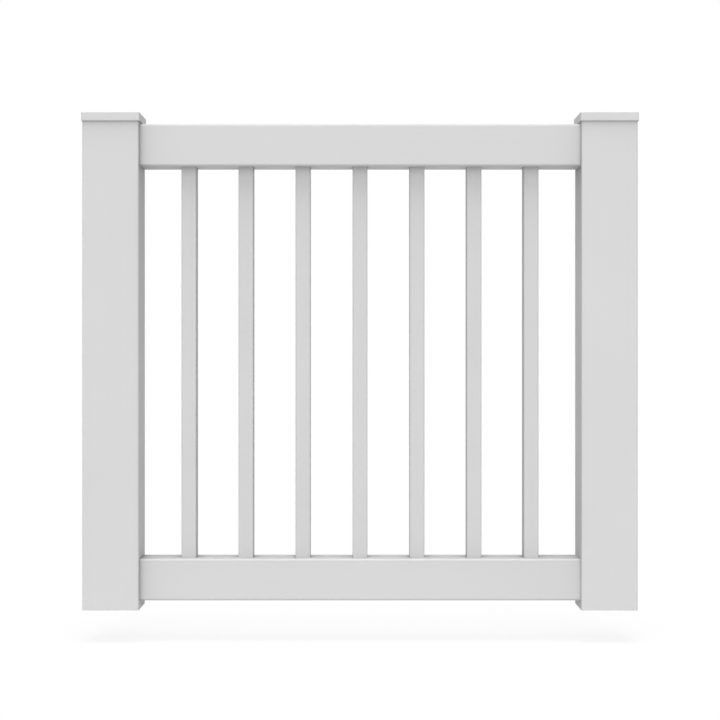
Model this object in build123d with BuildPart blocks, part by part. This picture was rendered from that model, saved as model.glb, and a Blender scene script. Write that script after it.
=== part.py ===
from build123d import *
from build123d.topology import SkipClean
import os

# Vinyl railing gate: one rigid leaf made of hollow white vinyl extrusions.
# Two capped uprights carry a top and a bottom rail, and a row of balusters stands between the rails.
# The leaf hangs by the outer face of its left upright. X runs from that face to the latch side,
# Y runs from front to back about the middle of the leaf, and Z runs up from the foot of the uprights.
# Every joint is a routed mortise: the end of one extrusion passes through a hole in the wall of the next.

# Leaf, in millimetres
leaf_width = 1000.0

# Uprights: square posts, open at the foot
upright_size = 101.6
upright_length = 894.0
upright_wall = 3.8
upright_corner_radius = 3.2

# Caps: flat moulded lids that slip over the cut ends of the uprights. The lip is the flat that is left
# at the bottom of the skirt, inside its rounded rim.
cap_top = 2.5
cap_skirt_depth = 13.3
cap_skirt_wall = 1.7
cap_clearance = 0.2
cap_corner_radius = 3.0
cap_edge_radius = 0.6
cap_lip = 0.2

# Rails: square tubes that end inside the uprights
rail_height = 75.5
rail_depth = 75.5
rail_wall = 2.8
rail_corner_radius = 4.0
rail_tenon = 30.0
bottom_rail_rise = 16.2
top_rail_drop = 16.8

# Balusters: slim tubes, deeper than they are wide, at the even spacing of a routed rail
baluster_width = 27.0
baluster_depth = 38.0
baluster_wall = 2.0
baluster_corner_radius = 2.0
baluster_pitch = 103.6
baluster_tenon = 30.0
least_end_gap = 60.0

# Fit of an extrusion in its routed hole, on each side
mortise_clearance = 0.3

# The smallest inside corner that an extrusion die leaves
die_radius = 0.5

# Heights of the rails' centre lines
bottom_rail_z = bottom_rail_rise + rail_height / 2
top_rail_z = upright_length - top_rail_drop - rail_height / 2

# The clear opening between the uprights, and the rails that reach across it into both bores
opening_start = upright_size
opening_end = leaf_width - upright_size
rail_start = opening_start - upright_wall - rail_tenon
rail_end = opening_end + upright_wall + rail_tenon

# As many balusters as the opening takes at this spacing, in a row centred between the uprights
row_room = opening_end - opening_start - 2 * least_end_gap - baluster_width
baluster_count = int(row_room // baluster_pitch) + 1
row_length = (baluster_count - 1) * baluster_pitch
baluster_centres = [leaf_width / 2 - row_length / 2 + i * baluster_pitch for i in range(baluster_count)]

# Each baluster stands on the floor of the bottom rail and ends inside the top rail
baluster_foot = bottom_rail_rise + rail_wall
baluster_head = top_rail_z - rail_height / 2 + rail_wall + baluster_tenon


def inner_radius(outer_radius, wall):
    """The inside corner radius of a tube whose wall is even all round."""
    return max(outer_radius - wall, die_radius)


def tube_section(width, depth, corner_radius, wall):
    """Draw the section of a hollow extrusion in the sketch that is open."""
    RectangleRounded(width, depth, corner_radius)
    bore_radius = inner_radius(corner_radius, wall)
    RectangleRounded(width - 2 * wall, depth - 2 * wall, bore_radius, mode=Mode.SUBTRACT)


def routed_hole(width, depth, corner_radius):
    """Draw the hole that takes an extrusion of this section with its fitting clearance."""
    hole_width = width + 2 * mortise_clearance
    hole_depth = depth + 2 * mortise_clearance
    RectangleRounded(hole_width, hole_depth, corner_radius + mortise_clearance)


os.makedirs("parts", exist_ok=True)

# Uprights and caps, left and right. Inward is the way along X from the upright to the opening.
seat_height = upright_length - cap_skirt_depth
cap_size = upright_size + 2 * (cap_clearance + cap_skirt_wall)
upright_places = {
    "left": (upright_size / 2, 1),
    "right": (leaf_width - upright_size / 2, -1),
}

for side, (upright_x, inward) in upright_places.items():
    with BuildPart() as upright:
        with BuildSketch():
            with Locations((upright_x, 0)):
                tube_section(upright_size, upright_size, upright_corner_radius, upright_wall)
        extrude(amount=seat_height)
        # Both rails' mortises, routed from the inner face as far as the middle of the bore
        with BuildSketch(Plane.YZ.offset(upright_x + inward * upright_size / 2)):
            with Locations((0, bottom_rail_z), (0, top_rail_z)):
                routed_hole(rail_depth, rail_height, rail_corner_radius)
        extrude(amount=-inward * upright_size / 2, mode=Mode.SUBTRACT)
        # The end that the cap hides keeps its own faces, so each side below it is one bare flat
        with BuildSketch(Plane.XY.offset(seat_height)):
            with Locations((upright_x, 0)):
                tube_section(upright_size, upright_size, upright_corner_radius, upright_wall)
        with SkipClean():
            extrude(amount=cap_skirt_depth)
    upright.part.label = f"{side}_upright"
    export_step(upright.part, f"parts/{side}_upright.step")

    with BuildPart() as cap:
        with BuildSketch(Plane.XY.offset(seat_height)):
            with Locations((upright_x, 0)):
                RectangleRounded(cap_size, cap_size, cap_corner_radius)
        extrude(amount=cap_skirt_depth + cap_top)
        fillet(cap.edges().group_by(Axis.Z)[-1], radius=cap_edge_radius)
        fillet(cap.edges().group_by(Axis.Z)[0], radius=cap_skirt_wall - cap_lip)
        # The socket inside the skirt, which the end of the upright fills up to the underside of the top
        with BuildSketch(Plane.XY.offset(seat_height)):
            with Locations((upright_x, 0)):
                socket_size = upright_size + 2 * cap_clearance
                RectangleRounded(socket_size, socket_size, upright_corner_radius + cap_clearance)
        extrude(amount=cap_skirt_depth, mode=Mode.SUBTRACT)
    cap.part.label = f"{side}_cap"
    export_step(cap.part, f"parts/{side}_cap.step")

# Rails, each routed for the balusters on the side that faces the other rail
rail_places = {
    "bottom_rail": (bottom_rail_z, 1),
    "top_rail": (top_rail_z, -1),
}

for rail_name, (rail_z, facing) in rail_places.items():
    with BuildPart() as rail:
        with BuildSketch(Plane.YZ.offset(rail_start)):
            with Locations((0, rail_z)):
                tube_section(rail_depth, rail_height, rail_corner_radius, rail_wall)
        extrude(amount=rail_end - rail_start)
        with BuildSketch(Plane.XY.offset(rail_z)):
            with Locations(*[(x, 0) for x in baluster_centres]):
                routed_hole(baluster_width, baluster_depth, baluster_corner_radius)
        extrude(amount=facing * rail_height / 2, mode=Mode.SUBTRACT)
    rail.part.label = rail_name
    export_step(rail.part, f"parts/{rail_name}.step")

# Balusters, numbered from the hinge side
for number, baluster_x in enumerate(baluster_centres, start=1):
    with BuildPart() as baluster:
        with BuildSketch(Plane.XY.offset(baluster_foot)):
            with Locations((baluster_x, 0)):
                tube_section(baluster_width, baluster_depth, baluster_corner_radius, baluster_wall)
        extrude(amount=baluster_head - baluster_foot)
    baluster.part.label = f"baluster_{number}"
    export_step(baluster.part, f"parts/baluster_{number}.step")
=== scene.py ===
"""White vinyl railing gate: hollow extrusions with routed joints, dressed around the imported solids."""

import logging
import math
from collections.abc import Iterable
from dataclasses import dataclass
from enum import Enum

import bmesh
import bpy
from mathutils import Matrix, Vector


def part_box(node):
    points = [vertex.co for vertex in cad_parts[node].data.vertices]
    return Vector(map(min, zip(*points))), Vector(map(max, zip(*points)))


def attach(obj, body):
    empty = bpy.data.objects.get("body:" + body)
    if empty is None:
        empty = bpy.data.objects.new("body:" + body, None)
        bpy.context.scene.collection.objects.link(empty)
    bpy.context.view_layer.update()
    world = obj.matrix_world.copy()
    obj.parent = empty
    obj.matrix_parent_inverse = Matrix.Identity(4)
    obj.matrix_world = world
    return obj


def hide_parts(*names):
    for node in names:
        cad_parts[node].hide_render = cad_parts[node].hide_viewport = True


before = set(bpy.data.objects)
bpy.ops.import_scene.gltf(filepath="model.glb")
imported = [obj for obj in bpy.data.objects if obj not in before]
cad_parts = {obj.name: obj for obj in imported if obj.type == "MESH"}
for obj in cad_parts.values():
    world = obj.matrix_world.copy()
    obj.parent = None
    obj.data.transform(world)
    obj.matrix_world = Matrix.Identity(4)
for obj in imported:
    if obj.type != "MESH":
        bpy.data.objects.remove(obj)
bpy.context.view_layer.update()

MM = 0.001
CM3_PER_M3 = 1e6
TINY = 1e-6
BODY = "root"

# Two faces look the same way above the first cosine, and an axis lies in a wall below the second
SAME_WAY = 0.99
IN_WALL = 0.5
SQUARE_EDGE = math.radians(60)
SMOOTH_UP_TO = math.radians(40)
CUTTER_FACETS = 5

# Octaves of the noise in the finishes
FINE_DETAIL = 3.0
SOFT_DETAIL = 2.0

log = logging.getLogger("railing_gate")


class Run(Enum):
    """The way an extrusion came out of its die, by the index of its axis."""

    ALONG_X = 0
    UPWARDS = 2


class Hand(Enum):
    """Which end of the leaf a post stands at. The value points from the post into the opening."""

    LEFT = 1
    RIGHT = -1


class Facing(Enum):
    """The side of a rail that is routed for the balusters. The value is its way along Z."""

    UP = 1
    DOWN = -1


class Spread(Enum):
    """How fast painted shade thins out from a joint along X, Y and Z. It runs on where that is 0."""

    UP_AND_DOWN = (0, 0, 1)
    SIDEWAYS = (1, 0, 0)
    DOWN_INNER_SIDE = (300, 0, 1)
    ALONG_RAIL_TOP = (1, 0, 60)
    ROUND_FOOT = (1, 2, 4)


def to_linear(code: str) -> tuple[float, float, float, float]:
    """Turn an sRGB hex colour into linear RGBA.

    Args:
        code: Six hex digits, with or without the hash.

    Returns:
        The linear colour with full alpha.
    """
    parts = [int(code.lstrip("#")[i : i + 2], 16) / 255 for i in (0, 2, 4)]
    red, green, blue = [c / 12.92 if c <= 0.04045 else ((c + 0.055) / 1.055) ** 2.4 for c in parts]
    return red, green, blue, 1.0


def add_node(
    tree: bpy.types.NodeTree, kind: str, feeds: dict | None = None, **settings: object
) -> bpy.types.Node:
    """Add a node with its settings, and set or link its inputs.

    Args:
        tree: The node tree that takes the node.
        kind: Blender's name of the node.
        feeds: Input name or number, with a value or the output socket that feeds it.
        settings: The node's own properties.

    Returns:
        The new node.
    """
    node = tree.nodes.new(kind)
    for name, value in settings.items():
        setattr(node, name, value)
    for name, value in (feeds or {}).items():
        if isinstance(value, bpy.types.NodeSocket):
            tree.links.new(value, node.inputs[name])
        else:
            node.inputs[name].default_value = value
    return node


def new_material(name: str) -> tuple[bpy.types.Material, bpy.types.NodeTree]:
    """Make an empty node material.

    Args:
        name: The material's name.

    Returns:
        The material and its node tree.
    """
    material = bpy.data.materials.new(name)
    material.use_nodes = True
    material.node_tree.nodes.clear()
    return material, material.node_tree


@dataclass(frozen=True)
class Darkening:
    """How much the colour is darkened right at a joint, how far that reaches and how steeply it thins out."""

    amount: float
    reach: float
    fall: float = 1.5


@dataclass(frozen=True)
class Joint:
    """A place where the colour is darkened: mostly painted shade in a corner where two pieces meet.

    Where the joint is round a piece, it starts at that piece's face instead of at its middle.
    """

    at: tuple[float, float, float]
    spread: Spread
    shade_and_dust: Darkening
    start: float = 0.0


@dataclass(frozen=True)
class PaintedShadeAndDust:
    """Painted shade, with a little dirt: a grey laid into the colour, darkest where pieces meet.

    It gives the eye a soft grey shade in every corner, which fades out within a few centimetres, and an even
    painted shade on the faces that look along the leaf, which darkens them against the front.
    """

    # The grey that the painted shade and the dirt mix into the colour
    grey: str = "#5C5C5B"
    # Painted shade laid evenly on the faces that look along the leaf
    painted_side_shade: float = 0.0

    def over(
        self,
        tree: bpy.types.NodeTree,
        place: bpy.types.NodeSocket,
        colour: bpy.types.NodeSocket,
        joints: Iterable[Joint],
    ) -> bpy.types.NodeSocket:
        """Lay the painted shade over a colour, darkest at each joint.

        Args:
            tree: The material's node tree.
            place: Object coordinates.
            colour: The clean colour.
            joints: The corners of the piece.

        Returns:
            The colour with its painted shade.
        """
        # Faces that look along the leaf start with an even painted shade
        facing = add_node(tree, "ShaderNodeTexCoord").outputs["Normal"]
        along = add_node(tree, "ShaderNodeSeparateXYZ", {"Vector": facing}).outputs["X"]
        along = add_node(tree, "ShaderNodeMath", {0: along}, operation="ABSOLUTE").outputs[0]
        thinly = {0: along, 1: self.painted_side_shade}
        darker_by = add_node(tree, "ShaderNodeMath", thinly, operation="MULTIPLY").outputs[0]
        # Each joint adds painted shade that thins out with distance
        for joint in joints:
            shade_and_dust = joint.shade_and_dust
            scale = Vector(joint.spread.value) / shade_and_dust.reach
            middle = [-c * k for c, k in zip(joint.at, scale)]
            centred = {"Vector": place, "Location": middle, "Scale": scale}
            apart = add_node(tree, "ShaderNodeMapping", centred).outputs["Vector"]
            away = add_node(tree, "ShaderNodeVectorMath", {0: apart}, operation="LENGTH").outputs["Value"]
            first = {0: away, 1: 1 - joint.start / shade_and_dust.reach}
            steps = add_node(tree, "ShaderNodeMath", first, operation="ADD").outputs[0]
            thin = add_node(tree, "ShaderNodeMath", {0: steps, 1: -shade_and_dust.fall}, operation="POWER").outputs[0]
            more = {0: thin, 1: shade_and_dust.amount, 2: darker_by}
            darker_by = add_node(tree, "ShaderNodeMath", more, operation="MULTIPLY_ADD").outputs[0]
        layers = {0: darker_by, 6: colour, 7: to_linear(self.grey)}
        return add_node(tree, "ShaderNodeMix", layers, data_type="RGBA").outputs[2]


@dataclass(frozen=True)
class ExtrudedVinyl:
    """Rigid PVC profile, extruded through a polished die and left as it cooled.

    It gives the eye a clean white with a soft satin gloss, faint straight lines along the run from the
    die's lips, and slow changes of tone and gloss where the profile cooled unevenly.
    """

    white: str = "#DADADA"
    greyed: str = "#D8D8D8"
    # Painted shade in the corners, and dirt on top of the top rail
    shade_and_dust: PaintedShadeAndDust = PaintedShadeAndDust()
    ior: float = 1.53
    specular: float = 0.16
    roughness: tuple[float, float] = (0.50, 0.60)
    # Real die lines are about 0.3 mm apart. They are drawn at 2.5 mm, so that they show at this distance.
    line_spacing: float = 2.5 * MM
    line_height: float = 0.02 * MM
    line_length: float = 900 * MM
    cooling_patch: float = 160 * MM
    peel_size: float = 1.6 * MM
    peel_height: float = 0.008 * MM
    bump: float = 0.6
    # The share of die lines in the tone, the rest being cooling patches, and the span of the noise that shows
    line_share: float = 0.45
    noise_span: tuple[float, float] = (0.35, 0.65)

    def material(self, piece: str, run: Run, joints: Iterable[Joint]) -> bpy.types.Material:
        """Make the material of a profile that runs one way.

        Args:
            piece: What the profile is in the leaf.
            run: The way that the profile was extruded.
            joints: The corners along it that get painted shade.

        Returns:
            The material.
        """
        material, tree = new_material(f"extruded_rigid_pvc_{piece}")
        place = add_node(tree, "ShaderNodeTexCoord").outputs["Object"]
        across = [1 / self.line_spacing] * 3
        across[run.value] = 1 / self.line_length
        drawn = add_node(tree, "ShaderNodeMapping", {"Vector": place, "Scale": across}).outputs["Vector"]
        streaks = {"Vector": drawn, "Scale": 1.0, "Detail": FINE_DETAIL}
        lines = add_node(tree, "ShaderNodeTexNoise", streaks).outputs["Fac"]
        patch = {"Vector": place, "Scale": 1 / self.cooling_patch, "Detail": SOFT_DETAIL}
        patches = add_node(tree, "ShaderNodeTexNoise", patch).outputs["Fac"]
        grain = {"Vector": place, "Scale": 1 / self.peel_size, "Detail": SOFT_DETAIL}
        peel = add_node(tree, "ShaderNodeTexNoise", grain).outputs["Fac"]

        mixed = {0: self.line_share, 2: patches, 3: lines}
        tone = add_node(tree, "ShaderNodeMix", mixed, data_type="FLOAT").outputs[0]
        steps = {"Value": tone, "From Min": self.noise_span[0], "From Max": self.noise_span[1]}
        tone = add_node(tree, "ShaderNodeMapRange", steps).outputs["Result"]
        shades = {0: tone, 6: to_linear(self.greyed), 7: to_linear(self.white)}
        colour = add_node(tree, "ShaderNodeMix", shades, data_type="RGBA").outputs[2]
        # Painted shade goes over the clean colour, darkest at the joints
        colour = self.shade_and_dust.over(tree, place, colour, joints)
        gloss = {"Value": tone, "To Min": self.roughness[1], "To Max": self.roughness[0]}
        roughness = add_node(tree, "ShaderNodeMapRange", gloss).outputs["Result"]

        ridges = {"Height": lines, "Strength": self.bump, "Distance": self.line_height}
        normal = add_node(tree, "ShaderNodeBump", ridges).outputs["Normal"]
        skin = {"Height": peel, "Strength": self.bump, "Distance": self.peel_height, "Normal": normal}
        normal = add_node(tree, "ShaderNodeBump", skin).outputs["Normal"]
        surface = {
            "Base Color": colour,
            "Roughness": roughness,
            "IOR": self.ior,
            "Specular IOR Level": self.specular,
            "Normal": normal,
        }
        shader = add_node(tree, "ShaderNodeBsdfPrincipled", surface)
        add_node(tree, "ShaderNodeOutputMaterial", {"Surface": shader.outputs["BSDF"]})
        return material


@dataclass(frozen=True)
class MouldedVinyl:
    """Rigid PVC, injection moulded in a tool with a fine spark-eroded face.

    It gives the eye the same white as the profiles with an even, slightly softer gloss and no die lines:
    a fine pebbled grain breaks up the highlight.
    """

    white: str = "#DBDBDB"
    greyed: str = "#D9D9D9"
    # Painted shade round the cap's rim
    shade_and_dust: PaintedShadeAndDust = PaintedShadeAndDust()
    ior: float = 1.53
    specular: float = 0.16
    roughness: tuple[float, float] = (0.54, 0.62)
    # Spark grain is about 0.1 mm. It is drawn at 0.9 mm, so that it shows at this distance.
    grain_size: float = 0.9 * MM
    grain_height: float = 0.03 * MM
    bump: float = 0.5
    flow_patch: float = 45 * MM
    noise_span: tuple[float, float] = (0.35, 0.65)

    def material(self, joints: Iterable[Joint]) -> bpy.types.Material:
        """Make the material of a moulded cap.

        Args:
            joints: The corners of the cap that get painted shade.

        Returns:
            The material.
        """
        material, tree = new_material("injection_moulded_pvc_spark_grain")
        place = add_node(tree, "ShaderNodeTexCoord").outputs["Object"]
        pebbles = {"Vector": place, "Scale": 1 / self.grain_size}
        grain = add_node(tree, "ShaderNodeTexVoronoi", pebbles, feature="SMOOTH_F1").outputs["Distance"]
        slow = {"Vector": place, "Scale": 1 / self.flow_patch, "Detail": FINE_DETAIL}
        flow = add_node(tree, "ShaderNodeTexNoise", slow).outputs["Fac"]
        steps = {"Value": flow, "From Min": self.noise_span[0], "From Max": self.noise_span[1]}
        tone = add_node(tree, "ShaderNodeMapRange", steps).outputs["Result"]
        shades = {0: tone, 6: to_linear(self.greyed), 7: to_linear(self.white)}
        colour = add_node(tree, "ShaderNodeMix", shades, data_type="RGBA").outputs[2]
        # Painted shade goes over the clean colour, darkest round the rim
        colour = self.shade_and_dust.over(tree, place, colour, joints)
        gloss = {"Value": tone, "To Min": self.roughness[1], "To Max": self.roughness[0]}
        roughness = add_node(tree, "ShaderNodeMapRange", gloss).outputs["Result"]
        bumps = {"Height": grain, "Strength": self.bump, "Distance": self.grain_height}
        normal = add_node(tree, "ShaderNodeBump", bumps).outputs["Normal"]
        surface = {
            "Base Color": colour,
            "Roughness": roughness,
            "IOR": self.ior,
            "Specular IOR Level": self.specular,
            "Normal": normal,
        }
        shader = add_node(tree, "ShaderNodeBsdfPrincipled", surface)
        add_node(tree, "ShaderNodeOutputMaterial", {"Surface": shader.outputs["BSDF"]})
        return material


@dataclass(frozen=True)
class Section:
    """The section of a hollow profile: a rounded rectangle about the axis, with an even wall."""

    width: float
    depth: float
    wall: float
    corner: float
    least_corner: float = 0.5 * MM
    facets: int = 8

    def outline(self, bm: bmesh.types.BMesh, inset: float) -> list[bmesh.types.BMEdge]:
        """Draw one closed outline of the section at the origin.

        Args:
            bm: The mesh that takes the outline.
            inset: How far inside the outer face it runs.

        Returns:
            The edges of the outline.
        """
        before = set(bm.edges)
        corners = bmesh.ops.create_grid(bm, x_segments=1, y_segments=1, size=0.5)["verts"]
        span = Vector((self.width - 2 * inset, self.depth - 2 * inset, 1.0))
        bmesh.ops.scale(bm, vec=span, verts=corners)
        radius = max(self.corner - inset, self.least_corner)
        bmesh.ops.bevel(
            bm, geom=corners, affect="VERTICES", offset=radius, segments=self.facets, profile=0.5, material=-1
        )
        edges = [e for e in bm.edges if e not in before]
        faces = list({f for e in edges for f in e.link_faces})
        bmesh.ops.delete(bm, geom=faces, context="FACES_ONLY")
        return edges

    def tube(self, length: float) -> bmesh.types.BMesh:
        """Extrude the section upwards from the origin.

        Args:
            length: The length of the tube.

        Returns:
            The closed mesh of the tube.
        """
        bm = bmesh.new()
        edges = self.outline(bm, 0.0) + self.outline(bm, self.wall)
        ring = bmesh.ops.bridge_loops(bm, edges=edges)["faces"]
        grown = bmesh.ops.extrude_face_region(bm, geom=ring)["geom"]
        moved = [v for v in grown if isinstance(v, bmesh.types.BMVert)]
        bmesh.ops.translate(bm, vec=(0, 0, length), verts=moved)
        bmesh.ops.recalc_face_normals(bm, faces=bm.faces)
        return bm


def wall_faces(
    bm: bmesh.types.BMesh, wall: Vector, place: Vector, thick: float
) -> list[bmesh.types.BMFace]:
    """Find the faces on both sides of a wall that a point of it lies on.

    Args:
        bm: The tube.
        wall: The way that the wall faces.
        place: The point, on the outer side of the wall.
        thick: The wall's thickness.

    Returns:
        The outer and the inner face.
    """
    found = []
    axes = [i for i in range(3) if abs(wall[i]) < IN_WALL]
    for face in bm.faces:
        depth = (place - face.verts[0].co).dot(wall)
        if abs(face.normal.dot(wall)) < SAME_WAY or not -TINY < depth < thick + TINY:
            continue
        spans = [[v.co[i] for v in face.verts] for i in axes]
        if all(min(span) - TINY < place[i] < max(span) + TINY for i, span in zip(axes, spans)):
            found.append(face)
    return found


def rout(
    bm: bmesh.types.BMesh,
    wall: Vector,
    place: Vector,
    spans: dict[int, float],
    corner: float,
    thick: float,
) -> None:
    """Rout a hole with rounded corners through a wall of a tube.

    Args:
        bm: The tube, in its place.
        wall: The way that the wall faces.
        place: The middle of the hole, on the outer side of the wall.
        spans: The hole's width along each of the wall's two axes, by the index of the axis.
        corner: The radius that the cutter leaves.
        thick: The wall's thickness.
    """
    for axis, span in spans.items():
        way = Vector([float(i == axis) for i in range(3)])
        for side in (-0.5, 0.5):
            faces = wall_faces(bm, wall, place, thick)
            cut = faces + [e for f in faces for e in f.edges] + [v for f in faces for v in f.verts]
            bmesh.ops.bisect_plane(
                bm, geom=list(set(cut)), dist=TINY, plane_co=place + side * span * way, plane_no=way
            )
    waste = wall_faces(bm, wall, place, thick)
    rims = list({e for f in waste for e in f.edges})
    bmesh.ops.delete(bm, geom=waste, context="FACES_ONLY")
    sides = bmesh.ops.bridge_loops(bm, edges=rims)["faces"]
    edges = list({e for f in sides for e in f.edges if e not in set(rims)})
    ease(bm, edges, corner, CUTTER_FACETS)
    bmesh.ops.recalc_face_normals(bm, faces=bm.faces)


def square_edges(bm: bmesh.types.BMesh, height: float) -> list[bmesh.types.BMEdge]:
    """Find the sharp edges that lie at one height.

    Args:
        bm: The mesh.
        height: The height of the edges.

    Returns:
        The edges there whose faces meet at about a right angle.
    """
    level = [e for e in bm.edges if all(abs(v.co.z - height) < TINY for v in e.verts)]
    return [e for e in level if len(e.link_faces) == 2 and e.calc_face_angle() > SQUARE_EDGE]


def ease(bm: bmesh.types.BMesh, edges: list[bmesh.types.BMEdge], radius: float, segments: int) -> None:
    """Round edges off to a radius."""
    bmesh.ops.bevel(
        bm, geom=edges, affect="EDGES", offset=radius, segments=segments, profile=0.5, material=-1
    )


def make_piece(bm: bmesh.types.BMesh, name: str, node: str) -> bpy.types.Object:
    """Turn a finished mesh into a piece that stands for a CAD node.

    Args:
        bm: The mesh, in its place. It is freed.
        name: The piece's name.
        node: The CAD node that it stands for.

    Returns:
        The piece.
    """
    bmesh.ops.remove_doubles(bm, verts=bm.verts, dist=TINY)
    bmesh.ops.recalc_face_normals(bm, faces=bm.faces)
    volume = bm.calc_volume(signed=True) * CM3_PER_M3
    mesh = bpy.data.meshes.new(name)
    bm.to_mesh(mesh)
    bm.free()
    mesh.shade_smooth()
    mesh.set_sharp_from_angle(angle=SMOOTH_UP_TO)
    piece = bpy.data.objects.new(name, mesh)
    bpy.context.scene.collection.objects.link(piece)
    # Flat faces keep their own normal, so that only the rounded corners shade softly
    weighted = piece.modifiers.new("flat_faces_lead", "WEIGHTED_NORMAL")
    weighted.keep_sharp = True
    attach(piece, BODY)
    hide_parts(node)
    log.info("%s: %d faces, %.1f cm3, stands for %s", name, len(mesh.polygons), volume, node)
    return piece


def dress(piece: bpy.types.Object, material: bpy.types.Material) -> None:
    """Give a piece its one material."""
    piece.data.materials.clear()
    piece.data.materials.append(material)


@dataclass
class Post:
    """One upright of the leaf: a square tube, open at the foot, routed for both rails."""

    hand: Hand
    mortise_middles: tuple[float, float]
    wall: float = 3.8 * MM
    corner: float = 3.2 * MM
    mortise: float = 76.1 * MM
    mortise_corner: float = 4.3 * MM
    saw_ease: float = 0.4 * MM
    saw_facets: int = 2

    @property
    def node(self) -> str:
        """The CAD node of this upright."""
        return f"{self.hand.name.lower()}_upright"

    def build(self) -> bpy.types.Object:
        """Extrude, route and place the upright."""
        low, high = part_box(self.node)
        size = high - low
        bm = Section(size.x, size.y, self.wall, self.corner).tube(size.z)
        ease(bm, square_edges(bm, 0.0), self.saw_ease, self.saw_facets)
        middle = Vector(((low.x + high.x) / 2, (low.y + high.y) / 2, low.z))
        bmesh.ops.translate(bm, vec=middle, verts=bm.verts)
        wall = Vector((self.hand.value, 0, 0))
        for height in self.mortise_middles:
            place = Vector((middle.x + self.hand.value * size.x / 2, middle.y, height))
            spans = {2: self.mortise, 1: self.mortise}
            rout(bm, wall, place, spans, self.mortise_corner, self.wall)
        return make_piece(bm, f"upright_{self.hand.name.lower()}", self.node)


@dataclass
class Cap:
    """A flat moulded lid that slips over the top of an upright."""

    hand: Hand
    skirt_wall: float = 1.7 * MM
    top: float = 2.5 * MM
    corner: float = 3.0 * MM
    socket_corner: float = 3.4 * MM
    edge: float = 0.6 * MM
    edge_facets: int = 4
    lip: float = 0.2 * MM
    rim_facets: int = 6

    @property
    def node(self) -> str:
        """The CAD node of this cap."""
        return f"{self.hand.name.lower()}_cap"

    def build(self) -> bpy.types.Object:
        """Raise the skirt round its socket, close it with the lid and round its edges."""
        low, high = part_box(self.node)
        size = high - low
        bm = bmesh.new()
        outer = Section(size.x, size.y, 0.0, self.corner).outline(bm, 0.0)
        inner = Section(
            size.x - 2 * self.skirt_wall, size.y - 2 * self.skirt_wall, 0.0, self.socket_corner
        ).outline(bm, 0.0)
        bmesh.ops.bridge_loops(bm, edges=outer + inner)
        for loop, height in ((outer, size.z), (inner, size.z - self.top)):
            grown = bmesh.ops.extrude_edge_only(bm, edges=loop)["geom"]
            raised = [v for v in grown if isinstance(v, bmesh.types.BMVert)]
            bmesh.ops.translate(bm, vec=(0, 0, height), verts=raised)
        bmesh.ops.holes_fill(bm, edges=bm.edges)
        bmesh.ops.recalc_face_normals(bm, faces=bm.faces)
        ease(bm, outer, self.skirt_wall - self.lip, self.rim_facets)
        ease(bm, square_edges(bm, size.z), self.edge, self.edge_facets)
        middle = ((low.x + high.x) / 2, (low.y + high.y) / 2, low.z)
        bmesh.ops.translate(bm, vec=middle, verts=bm.verts)
        return make_piece(bm, f"cap_{self.hand.name.lower()}", self.node)


@dataclass
class Rail:
    """A square tube across the opening, routed for the balusters on the side that faces the other rail."""

    node: str
    facing: Facing
    baluster_middles: list[float]
    wall: float = 2.8 * MM
    corner: float = 4.0 * MM
    slot_width: float = 27.6 * MM
    slot_depth: float = 38.6 * MM
    slot_corner: float = 2.3 * MM

    def build(self) -> bpy.types.Object:
        """Extrude the rail, lay it along the leaf and route it."""
        low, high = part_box(self.node)
        size = high - low
        bm = Section(size.z, size.y, self.wall, self.corner).tube(size.x)
        laid = Matrix.Rotation(math.pi / 2, 3, "Y")
        bmesh.ops.rotate(bm, cent=(0, 0, 0), matrix=laid, verts=bm.verts)
        middle = Vector((low.x, (low.y + high.y) / 2, (low.z + high.z) / 2))
        bmesh.ops.translate(bm, vec=middle, verts=bm.verts)
        wall = Vector((0, 0, self.facing.value))
        for x in self.baluster_middles:
            place = Vector((x, middle.y, middle.z + self.facing.value * size.z / 2))
            spans = {0: self.slot_width, 1: self.slot_depth}
            rout(bm, wall, place, spans, self.slot_corner, self.wall)
        name = "rail_" + self.node.removesuffix("_rail")
        return make_piece(bm, name, self.node)


def baluster_number(node: str) -> int:
    """The number at the end of a baluster's node name."""
    return int(node.rsplit("_", 1)[1])


@dataclass
class BalusterRow:
    """The slim tubes that stand between the rails."""

    nodes: list[str]
    wall: float = 2.0 * MM
    corner: float = 2.0 * MM
    corner_facets: int = 6

    @property
    def width(self) -> float:
        """The width of one baluster along the leaf."""
        low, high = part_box(self.nodes[0])
        return high.x - low.x

    @property
    def middles(self) -> list[float]:
        """Where each baluster stands along the leaf."""
        return [(low.x + high.x) / 2 for low, high in map(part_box, self.nodes)]

    def build(self) -> list[bpy.types.Object]:
        """Extrude and place every baluster."""
        made = []
        for node in self.nodes:
            low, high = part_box(node)
            size = high - low
            section = Section(size.x, size.y, self.wall, self.corner, facets=self.corner_facets)
            bm = section.tube(size.z)
            middle = ((low.x + high.x) / 2, (low.y + high.y) / 2, low.z)
            bmesh.ops.translate(bm, vec=middle, verts=bm.verts)
            name = f"slim_baluster_{baluster_number(node):02d}"
            made.append(make_piece(bm, name, node))
        return made


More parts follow.
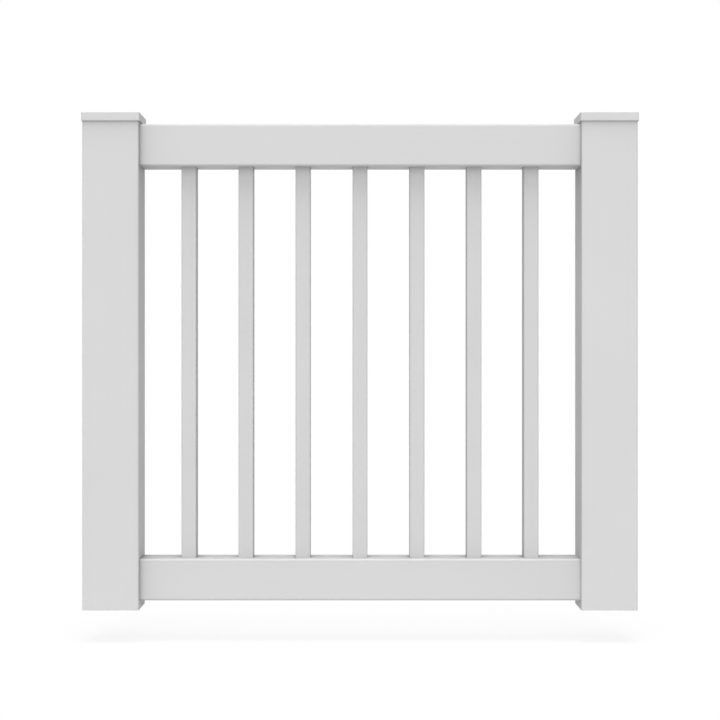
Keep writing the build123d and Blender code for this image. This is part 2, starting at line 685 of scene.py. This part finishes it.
@dataclass(frozen=True)
class LeafShadeAndDust:
    """Where the leaf gets painted shade, joint by joint, and a little dirt on top of the top rail.

    The left joints are painted darker than the right ones, so a pair of values gives the left joint and then
    the right one. Every other value is the same wherever its joint comes again.
    """

    # Painted shade under the cap, and a painted shadow line round its rim
    under_cap: Darkening = Darkening(0.38, 8 * MM)
    cap_rim: Darkening = Darkening(0.65, 0.9 * MM, fall=2.0)
    # Painted shade on the inner sides of the uprights under the top rail, and on the rails beside the uprights
    under_top_rail: tuple[Darkening, Darkening] = (
        Darkening(0.27, 36 * MM, fall=1.0),
        Darkening(0.57, 80 * MM, fall=2.0),
    )
    rail_end: tuple[Darkening, Darkening] = (Darkening(0.50, 9 * MM), Darkening(0.13, 30 * MM, fall=1.2))
    # Dirt that the rain leaves on top of the top rail
    top_rail_top: Darkening = Darkening(0.08, 0.4 * MM, fall=2.0)
    # Painted shade on top of the bottom rail, along it from the uprights and round each baluster's foot
    bottom_rail_top: Darkening = Darkening(0.24, 0.3 * MM, fall=2.0)
    rail_top_end: Darkening = Darkening(0.07, 150 * MM, fall=2.0)
    round_foot: Darkening = Darkening(0.44, 40 * MM, fall=4.0)
    # Painted shade on the balusters where they meet both rails
    baluster_head: Darkening = Darkening(0.20, 40 * MM)
    baluster_foot: Darkening = Darkening(0.10, 18 * MM)

    @property
    def inner_sides(self) -> tuple[float, float]:
        """Where the inner sides of the left and the right upright are along the leaf."""
        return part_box("left_upright")[1].x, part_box("right_upright")[0].x

    def on_cap(self) -> list[Joint]:
        """The painted shadow line round the rim of a cap."""
        return [Joint((0.0, 0.0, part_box("left_cap")[0].z), Spread.UP_AND_DOWN, self.cap_rim)]

    def on_upright(self) -> list[Joint]:
        """The painted shade under the cap, and on the inner sides under the top rail."""
        rim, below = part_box("left_cap")[0].z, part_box("top_rail")[0].z
        joints = [Joint((0.0, 0.0, rim), Spread.UP_AND_DOWN, self.under_cap)]
        for x, shade_and_dust in zip(self.inner_sides, self.under_top_rail):
            joints.append(Joint((x, 0.0, below), Spread.DOWN_INNER_SIDE, shade_and_dust))
        return joints

    def on_rail_ends(self) -> list[Joint]:
        """The painted shade where either rail meets the uprights."""
        ends = zip(self.inner_sides, self.rail_end)
        return [Joint((x, 0.0, 0.0), Spread.SIDEWAYS, shade_and_dust) for x, shade_and_dust in ends]

    def on_top_rail(self) -> list[Joint]:
        """The dirt that the rain leaves on top of the top rail, and the painted shade at its ends."""
        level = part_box("top_rail")[1].z
        rinsed = Joint((0.0, 0.0, level), Spread.UP_AND_DOWN, self.top_rail_top)
        return [rinsed, *self.on_rail_ends()]

    def on_bottom_rail(self, row: BalusterRow) -> list[Joint]:
        """Find where the bottom rail gets painted shade: on its top, at its ends and between the balusters.

        Args:
            row: The balusters that stand in the rail.

        Returns:
            The rail's top, its ends and the feet of the balusters.
        """
        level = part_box("bottom_rail")[1].z
        shaded_top = Joint((0.0, 0.0, level), Spread.UP_AND_DOWN, self.bottom_rail_top)
        ends = [Joint((x, 0.0, level), Spread.ALONG_RAIL_TOP, self.rail_top_end) for x in self.inner_sides]
        half = row.width / 2
        feet = [Joint((x, 0.0, level), Spread.ROUND_FOOT, self.round_foot, half) for x in row.middles]
        return [shaded_top, *self.on_rail_ends(), *ends, *feet]

    def on_baluster(self) -> list[Joint]:
        """The painted shade where a baluster meets both rails."""
        head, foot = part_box("top_rail")[0].z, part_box("bottom_rail")[1].z
        return [
            Joint((0.0, 0.0, head), Spread.UP_AND_DOWN, self.baluster_head),
            Joint((0.0, 0.0, foot), Spread.UP_AND_DOWN, self.baluster_foot),
        ]


@dataclass
class Leaf:
    """The whole gate leaf, built from its posts, caps, rails and balusters."""

    vinyl: ExtrudedVinyl
    # The balusters' vinyl: painted shade makes its white a little darker than the posts', and darkens its
    # sides
    shaded_slim_vinyl: ExtrudedVinyl
    moulding: MouldedVinyl
    # Where the leaf gets painted shade, and a little dirt
    shade_and_dust: LeafShadeAndDust = LeafShadeAndDust()

    def build(self) -> None:
        """Build every piece and dress it."""
        slim_nodes = (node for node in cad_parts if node.startswith("baluster_"))
        row = BalusterRow(sorted(slim_nodes, key=baluster_number))
        rails = (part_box("bottom_rail"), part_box("top_rail"))
        heights = tuple((low.z + high.z) / 2 for low, high in rails)
        # Every material carries the painted shade of its joints
        upright = self.vinyl.material("upright", Run.UPWARDS, self.shade_and_dust.on_upright())
        lower = self.vinyl.material("bottom_rail", Run.ALONG_X, self.shade_and_dust.on_bottom_rail(row))
        upper = self.vinyl.material("top_rail", Run.ALONG_X, self.shade_and_dust.on_top_rail())
        slim = self.shaded_slim_vinyl.material("baluster", Run.UPWARDS, self.shade_and_dust.on_baluster())
        lid = self.moulding.material(self.shade_and_dust.on_cap())
        for hand in Hand:
            dress(Post(hand, heights).build(), upright)
            dress(Cap(hand).build(), lid)
        dress(Rail("bottom_rail", Facing.UP, row.middles).build(), lower)
        dress(Rail("top_rail", Facing.DOWN, row.middles).build(), upper)
        for piece in row.build():
            dress(piece, slim)


@dataclass(frozen=True)
class StudioFloor:
    """Matt white paper on the studio floor: a smooth pale sheet that takes a soft shadow.

    Where it is seen directly, an even glow veils most of it, so that it looks white and its shadow faint.
    """

    white: str = "#CECECE"
    fibre: str = "#C9C9C9"
    # Paper fibres are under 1 mm long. They are drawn at 6 mm, so that they show at this distance.
    fibre_size: float = 6 * MM
    glow: float = 1.09
    veil: float = 0.8

    def material(self) -> bpy.types.Material:
        """Make the paper, which the camera and any reflection see as white."""
        material, tree = new_material("matt_white_paper")
        place = add_node(tree, "ShaderNodeTexCoord").outputs["Object"]
        fine = {"Vector": place, "Scale": 1 / self.fibre_size, "Detail": FINE_DETAIL}
        fibres = add_node(tree, "ShaderNodeTexNoise", fine).outputs["Fac"]
        shades = {0: fibres, 6: to_linear(self.fibre), 7: to_linear(self.white)}
        colour = add_node(tree, "ShaderNodeMix", shades, data_type="RGBA").outputs[2]
        paper = add_node(tree, "ShaderNodeBsdfDiffuse", {"Color": colour}).outputs["BSDF"]
        veil = {0: seen_directly(tree), 1: self.veil}
        share = add_node(tree, "ShaderNodeMath", veil, operation="MULTIPLY").outputs[0]
        glow = add_node(tree, "ShaderNodeEmission", {"Strength": self.glow}).outputs["Emission"]
        both = add_node(tree, "ShaderNodeMixShader", {0: share, 1: paper, 2: glow}).outputs["Shader"]
        add_node(tree, "ShaderNodeOutputMaterial", {"Surface": both})
        return material


def seen_directly(tree: bpy.types.NodeTree) -> bpy.types.NodeSocket:
    """Tell the rays that show a background, which are the camera's, reflected and transmitted ones.

    Args:
        tree: The node tree to add to.

    Returns:
        A socket that is 1 for those rays and 0 for the rays that only carry light.
    """
    path = add_node(tree, "ShaderNodeLightPath").outputs
    mirrored = {0: path["Is Camera Ray"], 1: path["Is Glossy Ray"]}
    some = add_node(tree, "ShaderNodeMath", mirrored, operation="MAXIMUM").outputs[0]
    every = {0: some, 1: path["Is Transmission Ray"]}
    return add_node(tree, "ShaderNodeMath", every, operation="MAXIMUM").outputs[0]


@dataclass(frozen=True)
class SoftLamp:
    """A broad lamp square to the leaf: its strength, its height and how wide it looks, in degrees.

    It hangs in front unless it is turned round the leaf. One with no gleam leaves no highlights.
    """

    name: str
    strength: float
    rise: float
    spread: float
    turn: float = 0.0
    gleam: bool = True

    def hang(self) -> None:
        """Hang the lamp in its place."""
        light = bpy.data.lights.new(self.name, "SUN")
        # At a strength of 1, a face square to the lamp shows its own colour
        light.energy = self.strength * math.pi
        light.angle = math.radians(self.spread)
        lamp = bpy.data.objects.new(self.name, light)
        lamp.rotation_euler = (math.radians(90 - self.rise), 0, math.radians(self.turn))
        lamp.visible_glossy = self.gleam
        bpy.context.scene.collection.objects.link(lamp)


# The key and the low lamp light the front, the panel the upper edges and tops, and the fill the back
LAMPS = (
    SoftLamp("broad_key", strength=0.275, rise=34.0, spread=44.0, turn=-2.0),
    SoftLamp("low_front", strength=0.15, rise=8.0, spread=30.0, turn=-2.0),
    SoftLamp("overhead_panel", strength=0.56, rise=76.0, spread=30.0),
    SoftLamp("back_fill", strength=0.52, rise=9.0, spread=16.0, turn=180.0, gleam=False),
)


@dataclass
class Studio:
    """Plain soft light from the front and above, a pale floor and the camera in front of the leaf."""

    floor: StudioFloor
    lamps: tuple[SoftLamp, ...]
    ambient: float = 0.323
    floor_side: float = 16.0
    floor_drop: float = 60 * MM
    camera_place: tuple[float, float, float] = (0.5, -3.4138, 0.45076)
    camera_lens: float = 93.465
    camera_sensor: float = 36.0
    camera_far: float = 100.0

    def build(self) -> None:
        """Lay the floor, light the room and stand the camera up."""
        self.lay_floor()
        self.light_room()
        for lamp in self.lamps:
            lamp.hang()
        self.stand_camera()

    def lay_floor(self) -> None:
        """Lay a square of paper a little below the foot of the leaf."""
        bm = bmesh.new()
        bmesh.ops.create_grid(bm, x_segments=1, y_segments=1, size=self.floor_side / 2)
        bmesh.ops.translate(bm, vec=(self.camera_place[0], 0, -self.floor_drop), verts=bm.verts)
        mesh = bpy.data.meshes.new("studio_floor")
        bm.to_mesh(mesh)
        bm.free()
        floor = bpy.data.objects.new("studio_floor", mesh)
        bpy.context.scene.collection.objects.link(floor)
        dress(floor, self.floor.material())
        log.info("studio_floor: %.1f m square", self.floor_side)

    def light_room(self) -> None:
        """Fill the room with even light in front of a white background."""
        world = bpy.data.worlds.new("white_studio")
        world.use_nodes = True
        tree = world.node_tree
        tree.nodes.clear()
        level = {"Value": seen_directly(tree), "To Min": self.ambient, "To Max": 1.0}
        strength = add_node(tree, "ShaderNodeMapRange", level).outputs["Result"]
        sky = add_node(tree, "ShaderNodeBackground", {"Color": (1, 1, 1, 1), "Strength": strength})
        add_node(tree, "ShaderNodeOutputWorld", {"Surface": sky.outputs["Background"]})
        bpy.context.scene.world = world

    def stand_camera(self) -> None:
        """Stand the camera level, square to the front of the leaf."""
        data = bpy.data.cameras.new("front_camera")
        data.sensor_width = self.camera_sensor
        data.lens = self.camera_lens
        data.clip_end = self.camera_far
        camera = bpy.data.objects.new("front_camera", data)
        camera.location = self.camera_place
        camera.rotation_euler = (math.radians(90), 0, 0)
        bpy.context.scene.collection.objects.link(camera)
        bpy.context.scene.camera = camera


def main() -> None:
    """Build the leaf and its studio."""
    logging.basicConfig(level=logging.INFO, format="%(name)s: %(message)s")
    bpy.context.scene.view_settings.view_transform = "Standard"
    # Painted shade: the balusters' white is a little darker than the posts', and their sides get an even shade
    shaded_slim_vinyl = ExtrudedVinyl(white="#D7D7D7", greyed="#D4D4D4", shade_and_dust=PaintedShadeAndDust(painted_side_shade=0.18))
    Leaf(ExtrudedVinyl(), shaded_slim_vinyl, MouldedVinyl()).build()
    Studio(StudioFloor(), LAMPS).build()


if __name__ == "__main__":
    main()
